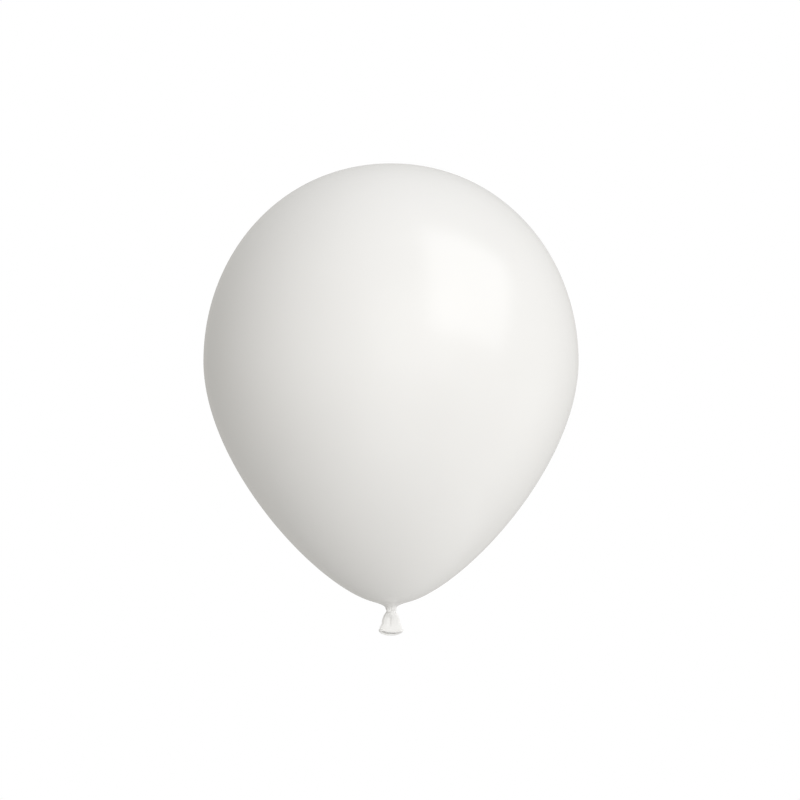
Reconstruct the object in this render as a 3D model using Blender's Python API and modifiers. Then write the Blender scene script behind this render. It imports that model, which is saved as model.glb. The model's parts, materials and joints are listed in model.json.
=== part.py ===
# A round white latex party balloon, blown up and tied with an overhand knot in its own neck.
# Metres, +Z up through the crown. The origin is on the axis, in the groove between the bulb and the knot,
# where a ribbon is tied. The flat sides of the tail face along Y.
import math

import bmesh
import bpy
from mathutils import Vector

# Inflated bulb
BULB_RADIUS = 0.150
CROWN_HEIGHT = 0.3568
EQUATOR_HEIGHT = 0.1988
SHOULDER_RADIUS = 0.015         # where the gathered neck begins
SHOULDER_HEIGHT = 0.0063
SHOULDER_SLOPE = math.radians(74)   # of the skin at the shoulder, from the axis
CROWN_FULLNESS = 0.591          # curve handle at the crown, as a share of the bulb's radius
UPPER_FULLNESS = 0.536          # handle above the equator, as a share of the height from equator to crown
LOWER_FULLNESS = 0.413          # handle below the equator, as a share of the equator's height
CONE_FULLNESS = 0.242           # handle at the shoulder, as a share of the equator's height

# Latex
FILM_THICKNESS = 0.0003         # stands in for the stretched film, which is far thinner
NECK_WALL = 0.00035             # the neck below the knot isn't stretched
TOUCH_GAP = 0.0003              # between solids that touch

# Overhand knot. Its shape follows from its strand, so these are shares of the strand's diameter.
STRAND_DIAMETER = 0.0019
KNOT_RING = 1.24                # mean radius of the strand's two turns
KNOT_LOBE = 0.55                # how far the strand goes in and out, and up and down, as it goes round
KNOT_DROP = 0.92                # how far the knot's centre lies below the tie groove
FREE_END_DROP = 0.95            # how far the free end comes down from the knot's centre
KNOT_END = math.radians(20)     # how far each end stops short of the cut lobe, in the knot's own turn
KNOT_HEIGHT = -KNOT_DROP * STRAND_DIAMETER
KNOT_RADIUS = (KNOT_RING + KNOT_LOBE + 0.5) * STRAND_DIAMETER

# Gathered neck above the knot, with a ball-shaped hollow that the knot turns in
KNOT_CLEARANCE = 0.0003
WAIST_HEIGHT = 0.0006           # lower rim of the gathered neck
RIM_WALL = 0.0003               # its thickness at that rim
PLUG_THICKNESS = 0.0006         # gathered film above the knot, on the axis
GATHER_FULLNESS = 0.36          # curve handle at the shoulder, as a share of the shoulder's radius
WAIST_FULLNESS = 0.39           # handle at the waist, as a share of the shoulder's height
SOCKET_RADIUS = KNOT_RADIUS + KNOT_CLEARANCE
SOCKET_ANGLE = math.acos((WAIST_HEIGHT - KNOT_HEIGHT) / SOCKET_RADIUS)
WAIST_RADIUS = SOCKET_RADIUS * math.sin(SOCKET_ANGLE) + RIM_WALL
PLUG_HEIGHT = KNOT_HEIGHT + SOCKET_RADIUS + PLUG_THICKNESS

# Flattened tail
FOLD_GAP = 0.0005               # between the knot's free end and the line that the tail folds on
TAIL_LAP = 0.0003               # how far the tail's gathered top reaches above that line
TAIL_LENGTH = 0.0119            # from its top to the lip's sides
TOP_WIDTH = 0.0108
TOP_DEPTH = 0.0009
MOUTH_WIDTH = 0.0182
MOUTH_DEPTH = 0.0034
WIDTH_STEPS = (0, 0.46, 0.53, 0.81, 1)      # evenly spaced, as shares of the way from top to mouth
DEPTH_STEPS = (0, 0.36, 0.64, 0.84, 1)
POCKET_TOP = 0.16               # where the hollow ends, as a share of the tail from its top
SIDE_STRAIGHTNESS = 1.8         # above 1, the flat tube's ends are round and its sides nearly straight
TAIL_PIVOT = KNOT_HEIGHT - (FREE_END_DROP + 0.5) * STRAND_DIAMETER - FOLD_GAP
TAIL_TOP = TAIL_PIVOT + TAIL_LAP

# Rolled lip
BEAD_DIAMETER = 0.0019
LIP_SAG = 0.0022                # how much lower the lip is at its middle than at its sides
LIP_TILT = 0.0013               # how much lower the back of the lip is, and the front higher
LIP_SIDE_HEIGHT = TAIL_TOP - TAIL_LENGTH

# Facets
BULB_SEGMENTS = 44
BULB_ROWS = 10
NECK_SEGMENTS = 32
NECK_ROWS = 6
KNOT_STEPS = 40
END_STEPS = 5
TAIL_SEGMENTS = 32
TAIL_ROWS = 8
TUBE_RESOLUTION = 2
MERGE_DISTANCE = 0.000001
SHARP_ANGLE = math.radians(50)


def bezier(a, b, c, d, rows):
    """Points of one cubic from a to d, both ends included."""
    points = []
    for i in range(rows + 1):
        t = i / rows
        u = 1 - t
        points.append(a * u**3 + b * 3 * u * u * t + c * 3 * u * t * t + d * t**3)
    return points


def smooth(points, steps):
    """A Catmull-Rom curve through the points."""
    padded = [points[0] * 2 - points[1], *points, points[-1] * 2 - points[-2]]
    curve = []
    for a, b, c, d in zip(padded, padded[1:], padded[2:], padded[3:]):
        for i in range(steps):
            t = i / steps
            bend = a * 2 - b * 5 + c * 4 - d
            twist = b * 3 - a - c * 3 + d
            curve.append((b * 2 + (c - a) * t + bend * t**2 + twist * t**3) / 2)
    curve.append(points[-1])
    return curve


def eased(steps, share):
    """The value at that share of the way along evenly spaced steps, with no corners between them."""
    curve = smooth([Vector((step, 0)) for step in steps], TAIL_ROWS)
    place = share * (len(curve) - 1)
    i = min(int(place), len(curve) - 2)
    return curve[i].lerp(curve[i + 1], place - i).x


def material(name, color, roughness):
    made = bpy.data.materials.new(name)
    made.use_nodes = True
    shader = made.node_tree.nodes["Principled BSDF"]
    shader.inputs["Base Color"].default_value = (*color, 1)
    shader.inputs["Roughness"].default_value = roughness
    shader.inputs["Metallic"].default_value = 0
    return made


def add(name, data, finish, height=0.0, parent=None):
    """A new object on the axis, with its origin at that height, moving with its parent."""
    made = bpy.data.objects.new(name, data)
    parts.objects.link(made)
    made.data.materials.append(finish)
    made.location = (0, 0, height)
    if parent:
        made.parent = parent
        made.location.z -= parent.matrix_world.translation.z
    bpy.context.view_layer.update()
    return made


def turned(name, profile, segments, finish, parent=None):
    """A profile of (radius, height) points, turned about Z."""
    mesh = bpy.data.meshes.new(name)
    edges = [(i, i + 1) for i in range(len(profile) - 1)]
    mesh.from_pydata([(p.x, 0, p.y) for p in profile], edges, [])
    made = add(name, mesh, finish, parent=parent)
    screw = made.modifiers.new("turn", "SCREW")
    screw.steps = segments
    screw.render_steps = segments
    screw.use_merge_vertices = True
    screw.merge_threshold = MERGE_DISTANCE
    screw.use_smooth_shade = True
    return made


def tube(name, path, diameter, finish, height, parent, closed=False):
    """A round strand along a path, which is given from the object's own origin."""
    curve = bpy.data.curves.new(name, "CURVE")
    curve.dimensions = "3D"
    curve.bevel_depth = diameter / 2
    curve.bevel_resolution = TUBE_RESOLUTION
    curve.use_fill_caps = not closed
    spline = curve.splines.new("POLY")
    spline.points.add(len(path) - 1)
    for point, place in zip(spline.points, path):
        point.co = (*place, 1)
    spline.use_cyclic_u = closed
    return add(name, curve, finish, height, parent)


def slope():
    """Direction of the skin at the shoulder, outwards and up, as (radius, height)."""
    return Vector((math.sin(SHOULDER_SLOPE), math.cos(SHOULDER_SLOPE)))


def envelope():
    crown = Vector((0, CROWN_HEIGHT))
    equator = Vector((BULB_RADIUS, EQUATOR_HEIGHT))
    shoulder = Vector((SHOULDER_RADIUS, SHOULDER_HEIGHT))
    upper = bezier(
        crown,
        crown + Vector((BULB_RADIUS * CROWN_FULLNESS, 0)),
        equator + Vector((0, (CROWN_HEIGHT - EQUATOR_HEIGHT) * UPPER_FULLNESS)),
        equator,
        BULB_ROWS,
    )
    lower = bezier(
        equator,
        equator - Vector((0, EQUATOR_HEIGHT * LOWER_FULLNESS)),
        shoulder + slope() * EQUATOR_HEIGHT * CONE_FULLNESS,
        shoulder,
        BULB_ROWS,
    )
    white = material("white_latex_bulb", (0.86, 0.85, 0.82), 0.28)
    bulb = turned("envelope", upper + lower[1:], BULB_SEGMENTS, white)
    film = bulb.modifiers.new("film", "SOLIDIFY")
    film.thickness = FILM_THICKNESS
    film.offset = -1
    return bulb


def socket():
    """The hollow under the gathered neck, from its rim up to the axis."""
    arc = []
    for i in range(NECK_ROWS + 1):
        angle = SOCKET_ANGLE * (1 - i / NECK_ROWS)
        arc.append(Vector((SOCKET_RADIUS * math.sin(angle), KNOT_HEIGHT + SOCKET_RADIUS * math.cos(angle))))
    return arc


def neck_throat(bulb):
    handle = slope() * SHOULDER_RADIUS * GATHER_FULLNESS
    rim = Vector((SHOULDER_RADIUS, SHOULDER_HEIGHT)) - slope() * TOUCH_GAP
    inner_rim = rim + slope().orthogonal() * FILM_THICKNESS
    waist = Vector((WAIST_RADIUS, WAIST_HEIGHT))
    plug = Vector((0, PLUG_HEIGHT))
    inside = bezier(plug, plug + Vector((WAIST_RADIUS, 0)), inner_rim - handle, inner_rim, NECK_ROWS)
    over_waist = waist + Vector((0, SHOULDER_HEIGHT * WAIST_FULLNESS))
    outside = bezier(rim, rim - handle, over_waist, waist, NECK_ROWS)
    white = material("white_latex_throat", (0.84, 0.83, 0.80), 0.34)
    return turned("neck_throat", inside + outside + socket(), NECK_SEGMENTS, white, bulb)


def around(radius, angle, height):
    """A point given in strand diameters and by its angle about the axis."""
    return Vector((radius * math.cos(angle), radius * math.sin(angle), height)) * STRAND_DIAMETER


def knot_path():
    """Centreline of the strand about the knot's centre: two turns through three lobes, cut open at the left
    lobe. The standing end climbs over the top to the axis, and the free end turns down at the left."""
    left = math.pi
    turns = []
    for i in range(KNOT_STEPS + 1):
        t = KNOT_END + (2 * math.pi - 2 * KNOT_END) * i / KNOT_STEPS
        lobe = KNOT_RING + KNOT_LOBE * math.cos(3 * t)
        turns.append(around(lobe, left + 2 * t, KNOT_LOBE * math.sin(3 * t)))
    standing_end = [
        around(0.00, left, 1.74),
        around(0.21, left, 1.42),
        around(0.74, left + 0.10, 1.10),
        around(1.26, left + 0.30, 0.79),
    ]
    free_end = [
        around(1.68, left - 0.36, -0.63),
        around(1.74, left - 0.08, -FREE_END_DROP),
    ]
    start = smooth(standing_end + turns[:1], END_STEPS)
    finish = smooth(turns[-1:] + free_end, END_STEPS)
    return start[:-1] + turns + finish[1:]


def overhand_knot(neck):
    white = material("white_latex_knot", (0.85, 0.84, 0.80), 0.38)
    return tube("overhand_knot", knot_path(), STRAND_DIAMETER, white, KNOT_HEIGHT, neck)


def flat_outline(width, depth):
    """Points round a flattened tube, as (across, back): round ends joined by nearly straight sides."""
    end = depth / 2
    outline = []
    for i in range(TAIL_SEGMENTS):
        angle = 2 * math.pi * i / TAIL_SEGMENTS
        side = max(-1, min(1, SIDE_STRAIGHTNESS * math.cos(angle)))
        outline.append(Vector((end * math.cos(angle) + (width / 2 - end) * side, end * math.sin(angle))))
    return outline


def lip_centres():
    """Centreline of the lip's bead in the world: it sags at its middle, and its back hangs lower."""
    width = MOUTH_WIDTH - NECK_WALL
    depth = MOUTH_DEPTH - NECK_WALL
    centres = []
    for p in flat_outline(width, depth):
        sag = LIP_SAG * (1 - (2 * p.x / width) ** 2)
        tilt = LIP_TILT * 2 * p.y / depth
        centres.append(Vector((p.x, p.y, LIP_SIDE_HEIGHT - sag - tilt)))
    return centres


def tail_ring(share, wall):
    """One ring of the tail, that share of the way down it and that far inside its outer face."""
    width = TOP_WIDTH + (MOUTH_WIDTH - TOP_WIDTH) * eased(WIDTH_STEPS, share)
    depth = TOP_DEPTH + (MOUTH_DEPTH - TOP_DEPTH) * eased(DEPTH_STEPS, share)
    centres = lip_centres()
    ring = []
    for i, p in enumerate(flat_outline(width - 2 * wall, depth - 2 * wall)):
        run = centres[(i + 1) % TAIL_SEGMENTS] - centres[i - 1]
        steepness = run.length / run.xy.length
        lower_rim = centres[i].z + (BEAD_DIAMETER / 2 + TOUCH_GAP) * steepness
        ring.append(Vector((p.x, p.y, TAIL_TOP + (lower_rim - TAIL_TOP) * share - TAIL_PIVOT)))
    return ring


def loft(name, rings):
    """One closed skin through the rings, with a fan over the first and the last."""
    shape = bmesh.new()
    loops = [[shape.verts.new(p) for p in ring] for ring in rings]
    for upper, lower in zip(loops, loops[1:]):
        for i, corner in enumerate(upper):
            shape.faces.new((corner, upper[i - 1], lower[i - 1], lower[i]))
    for loop in (loops[0], loops[-1]):
        centre = shape.verts.new(sum((v.co for v in loop), Vector()) / len(loop))
        for i, corner in enumerate(loop):
            shape.faces.new((corner, loop[i - 1], centre))
    bmesh.ops.recalc_face_normals(shape, faces=shape.faces)
    mesh = bpy.data.meshes.new(name)
    shape.to_mesh(mesh)
    shape.free()
    mesh.shade_smooth()
    mesh.set_sharp_from_angle(angle=SHARP_ANGLE)
    return mesh


def neck_tail(knot):
    outside = []
    pocket = []
    for i in range(TAIL_ROWS + 1):
        share = i / TAIL_ROWS
        outside.append(tail_ring(share, 0))
        pocket.append(tail_ring(1 - (1 - POCKET_TOP) * share, NECK_WALL))
    white = material("white_latex_tail", (0.90, 0.89, 0.85), 0.42)
    return add("neck_tail", loft("neck_tail", outside + pocket), white, TAIL_PIVOT, knot)


def rolled_lip(tail):
    path = [centre - Vector((0, 0, TAIL_PIVOT)) for centre in lip_centres()]
    white = material("white_latex_lip", (0.91, 0.90, 0.86), 0.36)
    return tube("rolled_lip", path, BEAD_DIAMETER, white, TAIL_PIVOT, tail, closed=True)


for old in list(bpy.data.objects):
    bpy.data.objects.remove(old)
parts = bpy.data.collections.new("latex_balloon")
bpy.context.scene.collection.children.link(parts)

skin = envelope()
gathered_neck = neck_throat(skin)
tied_knot = overhand_knot(gathered_neck)
flat_tail = neck_tail(tied_knot)
rolled_lip(flat_tail)
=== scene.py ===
import json
import math

import bpy
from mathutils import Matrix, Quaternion, Vector, noise


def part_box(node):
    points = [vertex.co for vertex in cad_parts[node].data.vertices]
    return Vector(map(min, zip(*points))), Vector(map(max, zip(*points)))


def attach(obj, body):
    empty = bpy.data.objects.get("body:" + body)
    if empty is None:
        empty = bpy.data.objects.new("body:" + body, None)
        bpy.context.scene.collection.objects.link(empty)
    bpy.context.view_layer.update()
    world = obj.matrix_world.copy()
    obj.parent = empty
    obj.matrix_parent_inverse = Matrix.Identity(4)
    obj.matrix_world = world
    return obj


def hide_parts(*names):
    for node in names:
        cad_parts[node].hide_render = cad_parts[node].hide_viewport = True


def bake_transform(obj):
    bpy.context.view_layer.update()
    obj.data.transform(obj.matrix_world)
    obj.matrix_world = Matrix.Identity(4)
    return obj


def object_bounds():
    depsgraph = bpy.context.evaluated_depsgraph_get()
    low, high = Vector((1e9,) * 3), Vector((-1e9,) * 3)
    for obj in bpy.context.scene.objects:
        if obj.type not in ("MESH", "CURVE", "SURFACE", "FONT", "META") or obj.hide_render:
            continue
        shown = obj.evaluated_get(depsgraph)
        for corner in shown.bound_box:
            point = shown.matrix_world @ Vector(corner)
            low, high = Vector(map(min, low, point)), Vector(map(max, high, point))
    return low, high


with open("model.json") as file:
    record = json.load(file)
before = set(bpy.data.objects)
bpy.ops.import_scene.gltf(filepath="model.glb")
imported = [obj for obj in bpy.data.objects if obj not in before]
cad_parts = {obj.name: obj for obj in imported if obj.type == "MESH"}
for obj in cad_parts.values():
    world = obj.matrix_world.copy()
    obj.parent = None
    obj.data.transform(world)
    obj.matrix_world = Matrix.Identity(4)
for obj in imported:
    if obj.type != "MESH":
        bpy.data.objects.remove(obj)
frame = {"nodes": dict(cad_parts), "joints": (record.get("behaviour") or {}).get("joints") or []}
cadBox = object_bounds()
bulbLow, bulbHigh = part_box("envelope")
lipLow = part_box("rolled_lip")[0]
knotMiddle = next(Vector(joint["pos_m"]) for joint in frame["joints"] if joint["name"] == "knot_swing")
mm = 0.001
samePlace = 1e-7    # points closer than this are one point
print("frame loaded:", sorted(frame["nodes"]))


# small modelling helpers

def deselect():
    if bpy.context.object and bpy.context.object.mode != "OBJECT":
        bpy.ops.object.mode_set(mode="OBJECT")
    bpy.ops.object.select_all(action="DESELECT")


def work(piece):
    deselect()
    piece.select_set(True)
    bpy.context.view_layer.objects.active = piece


def settle(piece):
    # place, turn and scale go into the mesh
    work(piece)
    bpy.ops.object.transform_apply(location=True, rotation=True, scale=True)
    return piece


def applyAll(piece):
    work(piece)
    for modifier in list(piece.modifiers):
        bpy.ops.object.modifier_apply(modifier=modifier.name)


def cubic(a, b, c, d, count):
    # points along one curve, both ends included
    points = []
    for i in range(count + 1):
        t = i / count
        u = 1 - t
        points.append(a * u**3 + b * 3 * u * u * t + c * 3 * u * t * t + d * t**3)
    return points


def through(stops, count):
    # a smooth curve through given stops
    padded = [stops[0] * 2 - stops[1], *stops, stops[-1] * 2 - stops[-2]]
    curve = []
    for a, b, c, d in zip(padded, padded[1:], padded[2:], padded[3:]):
        for i in range(count):
            t = i / count
            bend = a * 2 - b * 5 + c * 4 - d
            twist = b * 3 - a - c * 3 + d
            curve.append((b * 2 + (c - a) * t + bend * t**2 + twist * t**3) / 2)
    curve.append(stops[-1])
    return curve


def ease(low, high, value):
    share = max(0.0, min(1.0, (value - low) / (high - low)))
    return share * share * (3 - 2 * share)


def pullTube(name, rings, segments):
    # a circle is pulled down ring by ring; a ring is (radius, height)
    radius, height = rings[0]
    deselect()
    bpy.ops.mesh.primitive_circle_add(vertices=segments, radius=radius, location=(0, 0, height))
    piece = settle(bpy.context.object)
    piece.name = name
    bpy.ops.object.mode_set(mode="EDIT")
    bpy.ops.mesh.select_all(action="SELECT")
    for wide, low in rings[1:]:
        bpy.ops.mesh.extrude_region_move(TRANSFORM_OT_translate={"value": (0, 0, low - height)})
        bpy.ops.transform.resize(value=(wide / radius, wide / radius, 1), center_override=(0, 0, low))
        radius, height = wide, low
    bpy.ops.object.mode_set(mode="OBJECT")
    return piece


def pullSleeve(name, rows, segments):
    # a straight sleeve, one unit wide and one unit a row, to be laid out with layOut
    return pullTube(name, [(1, -row) for row in range(rows + 1)], segments)


def closeRing(piece, height):
    # the small ring left open at that height is drawn together into a pole
    work(piece)
    bpy.ops.object.mode_set(mode="EDIT")
    bpy.ops.mesh.select_all(action="DESELECT")
    bpy.ops.object.mode_set(mode="OBJECT")
    for vertex in piece.data.vertices:
        vertex.select = abs(vertex.co.z - height) < samePlace
    bpy.ops.object.mode_set(mode="EDIT")
    bpy.ops.mesh.select_mode(type="VERT")
    bpy.ops.mesh.merge(type="CENTER")
    bpy.ops.object.mode_set(mode="OBJECT")


def knead(piece, move):
    # every point of the skin goes where move() says
    for vertex in piece.data.vertices:
        vertex.co = move(vertex.co.copy())
    piece.data.update()


def layOut(piece, place):
    # place() gets a sleeve point's angle, its row and how far it is from the sleeve's middle
    knead(piece, lambda p: place(math.atan2(p.y, p.x), -p.z, math.hypot(p.x, p.y)))


def framesAlong(path):
    # a place, an across and a back for each point of the path, turning as little as possible
    frames = []
    across = (path[1] - path[0]).normalized().orthogonal()
    for before, place, after in zip(path[:1] + path, path, path[1:] + path[-1:]):
        ahead = (after - before).normalized()
        across = (across - ahead * across.dot(ahead)).normalized()
        frames.append((place, across, ahead.cross(across)))
    return frames


def evenly(path, count):
    # the same path with its points a steady distance apart
    lengths = [0]
    for a, b in zip(path, path[1:]):
        lengths.append(lengths[-1] + (b - a).length)
    points = []
    i = 0
    for k in range(count + 1):
        run = lengths[-1] * k / count
        while i < len(path) - 2 and lengths[i + 1] < run:
            i += 1
        share = (run - lengths[i]) / (lengths[i + 1] - lengths[i])
        points.append(path[i].lerp(path[i + 1], min(1, share)))
    return points


def faceOut(piece):
    work(piece)
    bpy.ops.object.mode_set(mode="EDIT")
    bpy.ops.mesh.select_all(action="SELECT")
    bpy.ops.mesh.remove_doubles(threshold=samePlace)
    bpy.ops.mesh.normals_make_consistent(inside=False)
    bpy.ops.object.mode_set(mode="OBJECT")
    faces = piece.data.polygons
    middle = sum((face.center for face in faces), Vector()) / len(faces)
    if sum(face.normal.dot(face.center - middle) * face.area for face in faces) < 0:
        bpy.ops.object.mode_set(mode="EDIT")    # an open skin can come out wrong side round
        bpy.ops.mesh.flip_normals()
        bpy.ops.object.mode_set(mode="OBJECT")


def giveWall(piece, thickness):
    wall = piece.modifiers.new("wall", "SOLIDIFY")
    wall.thickness = thickness
    wall.offset = -1
    applyAll(piece)


def smoothOut(piece, angle=60):
    work(piece)
    bpy.ops.object.shade_smooth_by_angle(angle=math.radians(angle))


# shader helpers

class Wire:
    # a node socket that can be used in plain sums
    def __init__(self, tree, socket):
        self.tree = tree
        self.socket = socket

    def node(self, kind, settings=None, **inputs):
        made = self.tree.nodes.new("ShaderNode" + kind)
        for key, value in (settings or {}).items():
            setattr(made, key, value)
        for key, value in inputs.items():
            socket = made.inputs[int(key[1:])] if key[0] == "i" and key[1:].isdigit() else made.inputs[key]
            if isinstance(value, Wire):
                self.tree.links.new(value.socket, socket)
            else:
                socket.default_value = value
        return made

    def out(self, kind, settings=None, output=0, **inputs):
        return Wire(self.tree, self.node(kind, settings, **inputs).outputs[output])

    def maths(self, operation, first, second):
        return self.out("Math", {"operation": operation}, i0=first, i1=second)

    def __add__(self, other):
        return self.maths("ADD", self, other)

    def __radd__(self, other):
        return self.maths("ADD", other, self)

    def __sub__(self, other):
        return self.maths("SUBTRACT", self, other)

    def __rsub__(self, other):
        return self.maths("SUBTRACT", other, self)

    def __mul__(self, other):
        return self.maths("MULTIPLY", self, other)

    def __rmul__(self, other):
        return self.maths("MULTIPLY", other, self)


def noisePattern(place, scale, detail):
    return place.out("TexNoise", Vector=place, Scale=scale, Detail=detail)


def ramp(wire, low, high):
    # 0 below low, 1 above high, smooth between
    return wire.out("MapRange", {"interpolation_type": "SMOOTHSTEP"}, i0=wire, i1=low, i2=high)


def mixColor(share, first, second):
    # sockets 6 and 7 and output 2 are the ones for colours
    return share.out("Mix", {"data_type": "RGBA"}, output=2, i0=share, i6=(*first, 1), i7=(*second, 1))


colorSpan = (-0.5, 1.0)     # the share of thin latex runs between these


def latex(name, look):
    # white rubber: thin spots and clouds in the colour, clouds in the gloss, a fine skin in the bump
    material = bpy.data.materials.new(name)
    material.use_nodes = True
    tree = material.node_tree
    shader = tree.nodes["Principled BSDF"]
    place = Wire(tree, tree.nodes.new("ShaderNodeTexCoord").outputs["Object"])
    cloud = noisePattern(place, look["cloudScale"], look["cloudDetail"])
    grain = noisePattern(place, look["grainScale"], look["grainDetail"])
    height = place.out("SeparateXYZ", output=2, Vector=place)
    thin = ramp(height, *look["thinBetween"])
    share = thin * look["thinShare"] + (cloud - 0.5) * look["cloudShare"]
    color = mixColor(ramp(share, *colorSpan), look["thick"], look["thinColor"])
    roughness = look["roughness"] + (cloud - 0.5) * look["roughnessSpread"]
    skin = grain * look["grainDepth"] + cloud * look["cloudDepth"]
    bump = place.out("Bump", Height=skin, Strength=look["bump"], Distance=look["bumpDistance"])
    for part, wire in (("Base Color", color), ("Roughness", roughness), ("Normal", bump)):
        tree.links.new(wire.socket, shader.inputs[part])
    shader.inputs["IOR"].default_value = look["ior"]
    return material


def dress(piece, material):
    piece.data.materials.clear()
    piece.data.materials.append(material)


# camera, floor and light

camera = {
    "distance": 4.5,
    "height": 0.1676,   # above the tie groove
    "across": 0.0072,
    "span": 0.64,       # how wide the view is at the balloon
    "sensor": 36,       # mm
}
floor = {"below": 0.9, "radius": 1.9, "edges": 96, "color": (0.86, 0.86, 0.85), "roughness": 0.7}
lights = {
    "keyBox": {"toward": (15, 15), "away": 1.5, "size": (1.4, 1.4), "power": 11.8},
    "fillBox": {"toward": (0, -30), "away": 1.5, "size": (1.0, 1.0), "power": 4.3},
    "rightBox": {"toward": (110, 10), "away": 1.5, "size": (1.4, 1.4), "power": 4.4, "cool": True},
    "lowBox": {"toward": (105, -25), "away": 1.5, "size": (0.9, 0.9), "power": 6.8},
    "backBox": {"toward": (155, 60), "away": 1.5, "size": (1.4, 1.4), "power": 6.8, "cool": True},
    "topBox": {"toward": (0, 80), "away": 1.5, "size": (1.4, 1.4), "power": 4.7, "cool": True},
    "shineBox": {"toward": (63.5, 34.0), "away": 1.44, "size": (1.42, 1.43), "power": 9.4, "cool": True,
                 "facing": (30, 40), "roll": -13},
}
lightColors = {"plain": (0.99, 0.993, 1.0), "cool": (0.94, 0.96, 1.0)}
roomLight = {"strength": 0.445, "moreInGloss": 0.14, "color": (1.0, 0.983, 0.94)}


def placeCamera():
    data = bpy.data.cameras.new("camera")
    data.sensor_width = camera["sensor"]
    data.lens = camera["sensor"] * camera["distance"] / camera["span"]
    made = bpy.data.objects.new("camera", data)
    made.location = (camera["across"], -camera["distance"], camera["height"])
    made.rotation_euler = (math.radians(90), 0, 0)
    bpy.context.scene.collection.objects.link(made)
    bpy.context.scene.camera = made


def layFloor():
    deselect()
    low = (0, 0, cadBox[0].z - floor["below"])
    bpy.ops.mesh.primitive_circle_add(
        vertices=floor["edges"], radius=floor["radius"], fill_type="NGON", location=low
    )
    made = bpy.context.object
    made.name = "floor"
    material = bpy.data.materials.new("floor")
    material.use_nodes = True
    shader = material.node_tree.nodes["Principled BSDF"]
    shader.inputs["Base Color"].default_value = (*floor["color"], 1)
    shader.inputs["Roughness"].default_value = floor["roughness"]
    made.data.materials.append(material)
    made.visible_diffuse = False    # no light comes back up from it


def direction(turn, rise):
    # turned to the right of the camera and raised, in degrees
    turn, rise = math.radians(turn), math.radians(rise)
    return Vector((math.sin(turn) * math.cos(rise), -math.cos(turn) * math.cos(rise), math.sin(rise)))


def hangLights():
    # only the shine box shows in the gloss, and it gives no other light
    middle = (bulbLow + bulbHigh) / 2
    for name, light in lights.items():
        data = bpy.data.lights.new(name, "AREA")
        data.shape = "RECTANGLE"
        data.size, data.size_y = light["size"]
        data.energy = light["power"]
        data.color = lightColors["cool" if light.get("cool") else "plain"]
        made = bpy.data.objects.new(name, data)
        made.location = middle + direction(*light["toward"]) * light["away"]
        facing = direction(*light.get("facing", light["toward"])).to_track_quat("Z", "Y")
        roll = Quaternion((0, 0, 1), math.radians(light.get("roll", 0)))
        made.rotation_euler = (facing @ roll).to_euler()
        made.visible_diffuse = name != "shineBox"
        made.visible_glossy = name == "shineBox"
        bpy.context.scene.collection.objects.link(made)


def lightRoom():
    # the camera sees a white wall; the balloon gets a softer, warmer share of it
    world = bpy.data.worlds.new("room")
    world.use_nodes = True
    tree = world.node_tree
    wall = tree.nodes["Background"]
    seen = Wire(tree, tree.nodes.new("ShaderNodeLightPath").outputs["Is Camera Ray"])
    gloss = seen.out("LightPath", output="Is Glossy Ray")
    strength = seen + (1 - seen) * (roomLight["strength"] + gloss * roomLight["moreInGloss"])
    color = mixColor(seen, roomLight["color"], (1, 1, 1))
    tree.links.new(strength.socket, wall.inputs["Strength"])
    tree.links.new(color.socket, wall.inputs["Color"])
    bpy.context.scene.world = world
    bpy.context.scene.view_settings.view_transform = "Standard"


placeCamera()
layFloor()
hangLights()
lightRoom()
print("camera, floor and light ready")


# bulb

bulb = {
    "segments": 160,
    "rows": 50,
    "lowerRows": 120,           # closer, so that a full twist of the neck stays round
    "equator": 0.557,           # of the crown's height
    "crownFullness": 0.591,     # of the radius
    "upperFullness": 0.536,     # of the height above the equator
    "lowerFullness": 0.413,     # of the equator's height
    "coneFullness": 0.242,      # of the equator's height
    "slope": math.radians(74),  # at the shoulder, from the axis
    "shoulderRadius": 0.015,
    "seam": 0.00015,            # a close ring on each side of the shoulder keeps the shading even
    "tip": 0.00005,             # the crown's first ring, then drawn together
    "film": 0.0003,
    "look": {
        "thick": (0.863, 0.857, 0.846),
        "thinColor": (0.81, 0.802, 0.786),
        "thinBetween": (0.0, 0.25),     # the latex thins out upwards between these heights
        "thinShare": 0.35,
        "cloudScale": 22,
        "cloudDetail": 3,
        "cloudShare": 0.25,
        "cloudDepth": 0.3,
        "grainScale": 900,
        "grainDetail": 2,
        "grainDepth": 0.4,
        "bump": 0.12,
        "bumpDistance": 0.0004,
        "roughness": 0.21,
        "roughnessSpread": 0.05,
        "ior": 1.52,
    },
}


# outlines are worked out flat, as (radius, height)
shoulder = Vector((bulb["shoulderRadius"], bulbLow.z))
shoulderSlope = Vector((math.sin(bulb["slope"]), math.cos(bulb["slope"])))


def bulbOutline():
    radius, top = bulbHigh.x, bulbHigh.z
    equator = Vector((radius, top * bulb["equator"]))
    crown = Vector((0, top))
    upper = cubic(
        crown,
        crown + Vector((radius * bulb["crownFullness"], 0)),
        equator + Vector((0, (top - equator.y) * bulb["upperFullness"])),
        equator,
        bulb["rows"],
    )
    lower = cubic(
        equator,
        equator - Vector((0, equator.y * bulb["lowerFullness"])),
        shoulder + shoulderSlope * equator.y * bulb["coneFullness"],
        shoulder,
        bulb["lowerRows"],
    )
    upper[0].x = bulb["tip"]
    lower.insert(-1, shoulder + shoulderSlope * bulb["seam"])
    return upper + lower[1:]


def makeBulb():
    piece = pullTube("bulbSkin", bulbOutline(), bulb["segments"])
    closeRing(piece, bulbHigh.z)
    knead(piece, pucker)
    faceOut(piece)
    giveWall(piece, bulb["film"])
    smoothOut(piece)
    dress(piece, latex("bulbLatex", bulb["look"]))
    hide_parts("envelope")
    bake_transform(piece)
    return piece


# gathered throat

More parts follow.
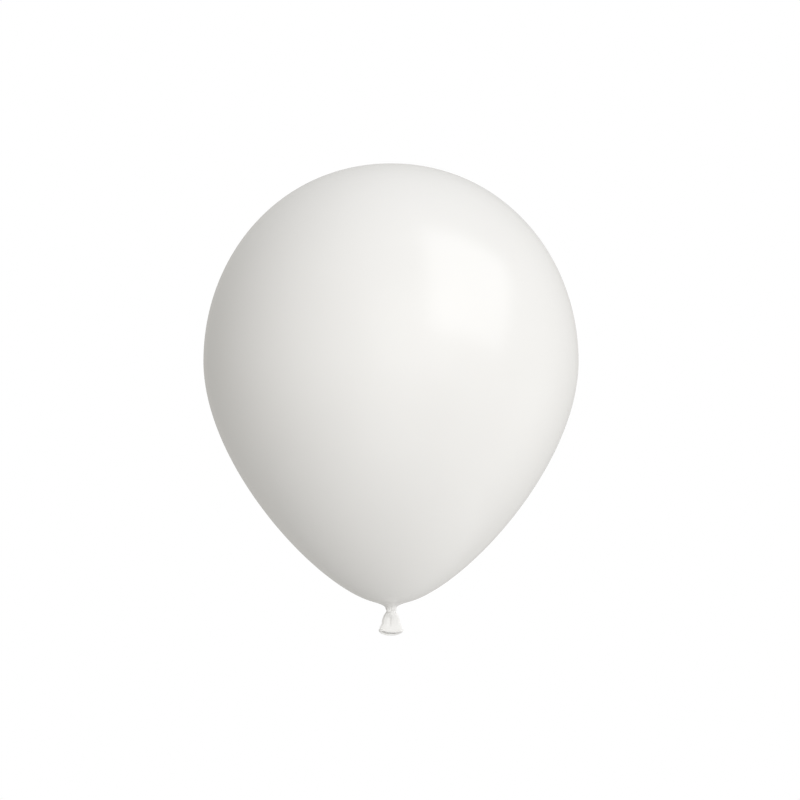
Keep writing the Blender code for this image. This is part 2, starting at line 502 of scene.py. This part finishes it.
throat = {
    "gatherFullness": 0.36,     # of the shoulder's radius
    "waistFullness": 0.39,      # of the shoulder's height
    "waist": Vector((4.3, 0.8)) * mm,
    "curl": [(4.15, 0.3), (3.9, -0.2), (3.5, -0.7), (2.9, -1.1)],  # the film runs on into the knot, in mm
    "rows": 30,
    "curlRows": 5,
    "wall": 0.00025,
    "pleats": [(11, 0.5, 0.4), (17, 0.3, 1.9), (7, 0.3, 2.6)],  # how many, how strong, turned by
    "pleatDepth": 0.00018,
    "pleatReach": 0.040,        # the pleats have gone at this distance from the axis
    "pleatFade": 4,             # and fade as this power
    "pleatTop": 5,              # none above this many shoulder heights
    "sidewaysUpTo": (0.005, 0.012),     # they press sideways at the waist and upwards on the bulb
    "lean": 27,                 # how the pleats lean, in radians for each metre outwards
}


def pucker(point):
    # pleats that run into the neck: deep at the waist, gone out on the bulb
    radius = math.hypot(point.x, point.y)
    reach = throat["pleatReach"]
    if point.z > bulbLow.z * throat["pleatTop"] or radius > reach:
        return point
    near = min(1, (reach - radius) / (reach - throat["waist"].x))
    angle = math.atan2(point.y, point.x) + radius * throat["lean"]
    wave = 0
    for count, strength, turned in throat["pleats"]:
        wave += strength * math.cos(count * angle + turned)
    depth = throat["pleatDepth"] * wave * near ** throat["pleatFade"]
    sideways = 1 - ease(*throat["sidewaysUpTo"], radius)
    point.x *= 1 + depth * sideways / radius
    point.y *= 1 + depth * sideways / radius
    point.z -= depth * (1 - sideways)
    return point


def throatOutline():
    waist = throat["waist"]
    down = cubic(
        shoulder,
        shoulder - shoulderSlope * shoulder.x * throat["gatherFullness"],
        waist + Vector((0, shoulder.y * throat["waistFullness"])),
        waist,
        throat["rows"],
    )
    down.insert(1, shoulder - shoulderSlope * bulb["seam"])
    curl = [Vector(stop) * mm for stop in throat["curl"]]
    return down + through([waist, *curl], throat["curlRows"])[1:]


def makeThroat():
    piece = pullTube("throatSkin", throatOutline(), bulb["segments"])
    knead(piece, pucker)
    faceOut(piece)
    giveWall(piece, throat["wall"])
    smoothOut(piece)
    dress(piece, latex("throatLatex", bulb["look"]))
    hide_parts("neck_throat")
    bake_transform(piece)
    return piece


# knot

knot = {
    "strand": 0.0019,           # the scale of its path
    "thickness": 0.0026,        # the soft strand bulges between its turns
    "ring": 1.5,                # the turns' middle, in strands
    "lobe": 0.28,               # how far the turns go in and out
    "rise": 0.60,               # and up and down
    "core": (0.0026, 0.0026, 0.0015),   # film pressed together inside the turns
    "coreSegments": 48,
    "end": math.radians(20),
    "steps": 60,
    "endSteps": 8,
    "standing": [(0, 0, 1.74), (0.21, 0, 1.42), (0.74, 0.10, 1.10), (1.26, 0.30, 0.79)],
    "free": [(1.68, -0.36, -0.63), (1.74, -0.08, -0.95)],
    "rows": 220,
    "segments": 36,
    "folds": 6,                 # along the gathered strand
    "foldDepth": 0.07,
    "foldLean": 2.2,            # the folds wander this far to and fro
    "foldWander": 9,
    "grid": 0.00011,            # the pressed turns are fused at this fineness
    "soften": 7,
    "softness": 0.5,
}


def knotPoint(radius, angle, height):
    # given in strand diameters about the knot's middle, and turned from its left side
    angle += math.pi
    place = Vector((radius * math.cos(angle), radius * math.sin(angle), height))
    return knotMiddle + place * knot["strand"]


def knotPath():
    turns = []
    for i in range(knot["steps"] + 1):
        t = knot["end"] + 2 * (math.pi - knot["end"]) * i / knot["steps"]
        radius = knot["ring"] + knot["lobe"] * math.cos(3 * t)
        turns.append(knotPoint(radius, 2 * t, knot["rise"] * math.sin(3 * t)))
    standing = [knotPoint(*stop) for stop in knot["standing"]]
    free = [knotPoint(*stop) for stop in knot["free"]]
    begin = through(standing + turns[:1], knot["endSteps"])
    finish = through(turns[-1:] + free, knot["endSteps"])
    return begin[:-1] + turns + finish[1:]


def makeKnot():
    rows = knot["rows"]
    piece = pullSleeve("knotStrand", rows, knot["segments"])
    closeRing(piece, 0)
    closeRing(piece, -rows)
    frames = framesAlong(evenly(knotPath(), rows))

    def place(angle, row, out):
        middle, across, back = frames[round(row)]
        lean = knot["foldLean"] * math.sin(row / rows * knot["foldWander"])
        fold = 1 + knot["foldDepth"] * math.cos(knot["folds"] * angle + lean)
        radius = knot["thickness"] / 2 * out * fold
        return middle + (across * math.cos(angle) + back * math.sin(angle)) * radius

    layOut(piece, place)
    deselect()
    around = knot["coreSegments"]
    bpy.ops.mesh.primitive_uv_sphere_add(
        segments=around, ring_count=around // 2, radius=1, location=knotMiddle
    )
    core = bpy.context.object
    core.scale = knot["core"]
    settle(core)
    piece.select_set(True)
    bpy.context.view_layer.objects.active = piece
    bpy.ops.object.join()
    faceOut(piece)
    fuse = piece.modifiers.new("fuse", "REMESH")
    fuse.mode = "VOXEL"
    fuse.voxel_size = knot["grid"]
    soften = piece.modifiers.new("soften", "SMOOTH")
    soften.factor = knot["softness"]
    soften.iterations = knot["soften"]
    applyAll(piece)
    smoothOut(piece, 180)
    dress(piece, latex("knotLatex", tail["look"]))
    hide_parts("overhand_knot")
    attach(piece, "knot")
    return piece


# tail

tail = {
    # half width, half depth and height, in mm
    "rings": [
        (3.0, 2.8, -1.9), (4.1, 3.5, -2.6), (4.85, 3.6, -3.4), (5.5, 3.3, -4.3), (6.0, 2.8, -5.2),
        (6.35, 2.4, -6.2), (7.1, 1.95, -8.0), (7.3, 1.75, -9.6), (7.35, 1.6, -11.2), (8.2, 1.65, -12.6),
        (8.9, 1.7, -14.0), (9.05, 1.7, -16.2),
    ],
    "between": 8,               # rows from ring to ring
    "segments": 300,
    "wall": 0.00035,
    "straight": 2.4,            # the ends are round and the sides nearly straight
    "crowd": 0.25,              # how much closer the points are along the sides
    "overlap": 0.0004,          # the film ends this far above the roll's centreline
    "crease": {"from": (-0.6, -5.2), "to": (-1.2, -13.6), "left": 1.4, "right": 0.85, "flat": 0.55},
    "fold": {"from": (-3.6, -3.0), "to": (-6.5, -14.4), "width": 2.4, "flat": 0.85},
    "fadeIn": (-0.15, 0.25),    # crease and fold run in and out over these shares of their lines
    "fadeOut": (0.75, 1.15),
    "gathers": [(15, 0.5, 0.7), (27, 0.3, 2.2), (42, 0.2, 4.0)],   # how close, how strong, shifted by
    "gatherDepth": 0.0001,
    "gatherFade": (0.001, 0.011),       # they fade between these distances below the tail's top
    "gatherLeft": 0.25,         # this much more stays all the way down
    "look": {
        "thick": (0.93, 0.926, 0.917),
        "thinColor": (0.885, 0.88, 0.865),
        "thinBetween": (-0.03, 0.01),
        "thinShare": 0.35,
        "cloudScale": 160,
        "cloudDetail": 3,
        "cloudShare": 0.3,
        "cloudDepth": 0.3,
        "grainScale": 2600,
        "grainDetail": 2,
        "grainDepth": 0.3,
        "bump": 0.15,
        "bumpDistance": 0.0002,
        "roughness": 0.42,
        "roughnessSpread": 0.12,
        "ior": 1.52,
    },
}


mouth = {
    "sag": 0.0022,              # the middle hangs lower than the sides
    "tilt": 0.0013,             # and the back lower than the front
    "backCurve": 2,
    "frontCurve": 3.4,          # the front hangs straighter
    "gape": 0.0005,             # it gapes on the left
    "gapeAt": -0.6,
    "gapeWidth": 0.25,
    "close": 0.0003,            # lies closer to the back towards the right
    "closeBetween": (-0.3, 0.7),
    "corner": 0.0006,           # and meets it at both corners
    "cornerBetween": (0.7, 0.92),
}


def flatRing(angle, wide, deep):
    # a flat loop with round ends
    angle += tail["crowd"] * math.sin(2 * angle)
    side = math.tanh(tail["straight"] * math.cos(angle)) / math.tanh(tail["straight"])
    return deep * math.cos(angle) + (wide - deep) * side, deep * math.sin(angle)


def mouthHeight(across, back):
    # both as shares of the mouth's half width and half depth
    front = ease(0, 1, -back)
    curve = mouth["backCurve"] + (mouth["frontCurve"] - mouth["backCurve"]) * front
    hang = 1 - abs(across) ** curve
    gape = mouth["gape"] * math.exp(-((across - mouth["gapeAt"]) / mouth["gapeWidth"]) ** 2)
    close = mouth["close"] * ease(*mouth["closeBetween"], across)
    close += mouth["corner"] * ease(*mouth["cornerBetween"], abs(across))
    return lipSide - mouth["sag"] * hang - mouth["tilt"] * back + (gape - close) * front


def along(line, height):
    # where a fold's line runs at that height, and how much of the fold is there
    (startAcross, startHeight), (endAcross, endHeight) = line["from"], line["to"]
    share = (height / mm - startHeight) / (endHeight - startHeight)
    here = ease(*tail["fadeIn"], share) * (1 - ease(*tail["fadeOut"], share))
    return (startAcross + (endAcross - startAcross) * share) * mm, here


def flatten(across, height):
    # how much of the front's depth is left beside the crease and the turned-in left edge
    middle, here = along(tail["crease"], height)
    width = tail["crease"]["left" if across < middle else "right"] * mm
    crease = math.exp(-((across - middle) / width) ** 2) * here * tail["crease"]["flat"]
    edge, here = along(tail["fold"], height)
    fold = ease(0, tail["fold"]["width"] * mm, edge - across) * here * tail["fold"]["flat"]
    return (1 - crease) * (1 - fold)


def makeTail():
    rings = through([Vector(ring) * mm for ring in tail["rings"]], tail["between"])
    piece = pullSleeve("tailSkin", len(rings) - 1, tail["segments"])
    closeRing(piece, 0)
    top, bottom = rings[0].z, rings[-1].z
    fadeFrom, fadeTo = tail["gatherFade"]

    def place(angle, row, out):
        wide, deep, level = rings[round(row)]
        across, back = flatRing(angle, wide, deep)
        share = (top - level) / (top - bottom)
        height = top + (mouthHeight(across / wide, back / deep) + tail["overlap"] - top) * share
        gathered = 1 - ease(top - fadeFrom, top - fadeTo, level)
        wave = 0
        for count, strength, shift in tail["gathers"]:
            wave += strength * math.cos(count * across / wide + shift)
        back *= 1 + tail["gatherDepth"] * wave * (tail["gatherLeft"] + gathered) / deep
        if back < 0:
            back *= flatten(across, height)
        return Vector((across * out, back * out, height))

    layOut(piece, place)
    faceOut(piece)
    giveWall(piece, tail["wall"])
    smoothOut(piece, 50)
    dress(piece, latex("tailLatex", tail["look"]))
    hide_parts("neck_tail")
    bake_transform(piece)
    return piece


# rolled lip

lip = {
    "thickness": 0.0019,
    "wide": 0.008925,           # to the roll's centreline
    "deep": 0.001525,
    "rows": 260,
    "segments": 24,
    "uneven": 0.05,
    "unevenScale": 420,
}


def makeLip():
    rows = lip["rows"]
    piece = pullSleeve("lipBead", rows, lip["segments"])
    path = []
    for i in range(rows):
        across, back = flatRing(2 * math.pi * i / rows, lip["wide"], lip["deep"])
        path.append(Vector((across, back, mouthHeight(across / lip["wide"], back / lip["deep"]))))
    path = evenly(path + path[:1], rows)[:-1]
    up = Vector((0, 0, 1))

    def place(angle, row, out):
        i = round(row) % rows
        ahead = (path[(i + 1) % rows] - path[i - 1]).normalized()
        outwards = ahead.cross(up).normalized()
        radius = lip["thickness"] / 2 * (1 + lip["uneven"] * noise.noise(path[i] * lip["unevenScale"]))
        return path[i] + (outwards * math.cos(angle) + outwards.cross(ahead) * math.sin(angle)) * radius

    layOut(piece, place)
    faceOut(piece)
    smoothOut(piece, 180)
    dress(piece, latex("lipLatex", tail["look"]))
    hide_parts("rolled_lip")
    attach(piece, "tail")
    return piece


lipSide = lipLow.z + mouth["sag"] + mouth["tilt"] + lip["thickness"] / 2
for makePiece in (makeBulb, makeThroat, makeKnot, makeTail, makeLip):
    made = makePiece()
    print(made.name, "ready, faces:", len(made.data.polygons))
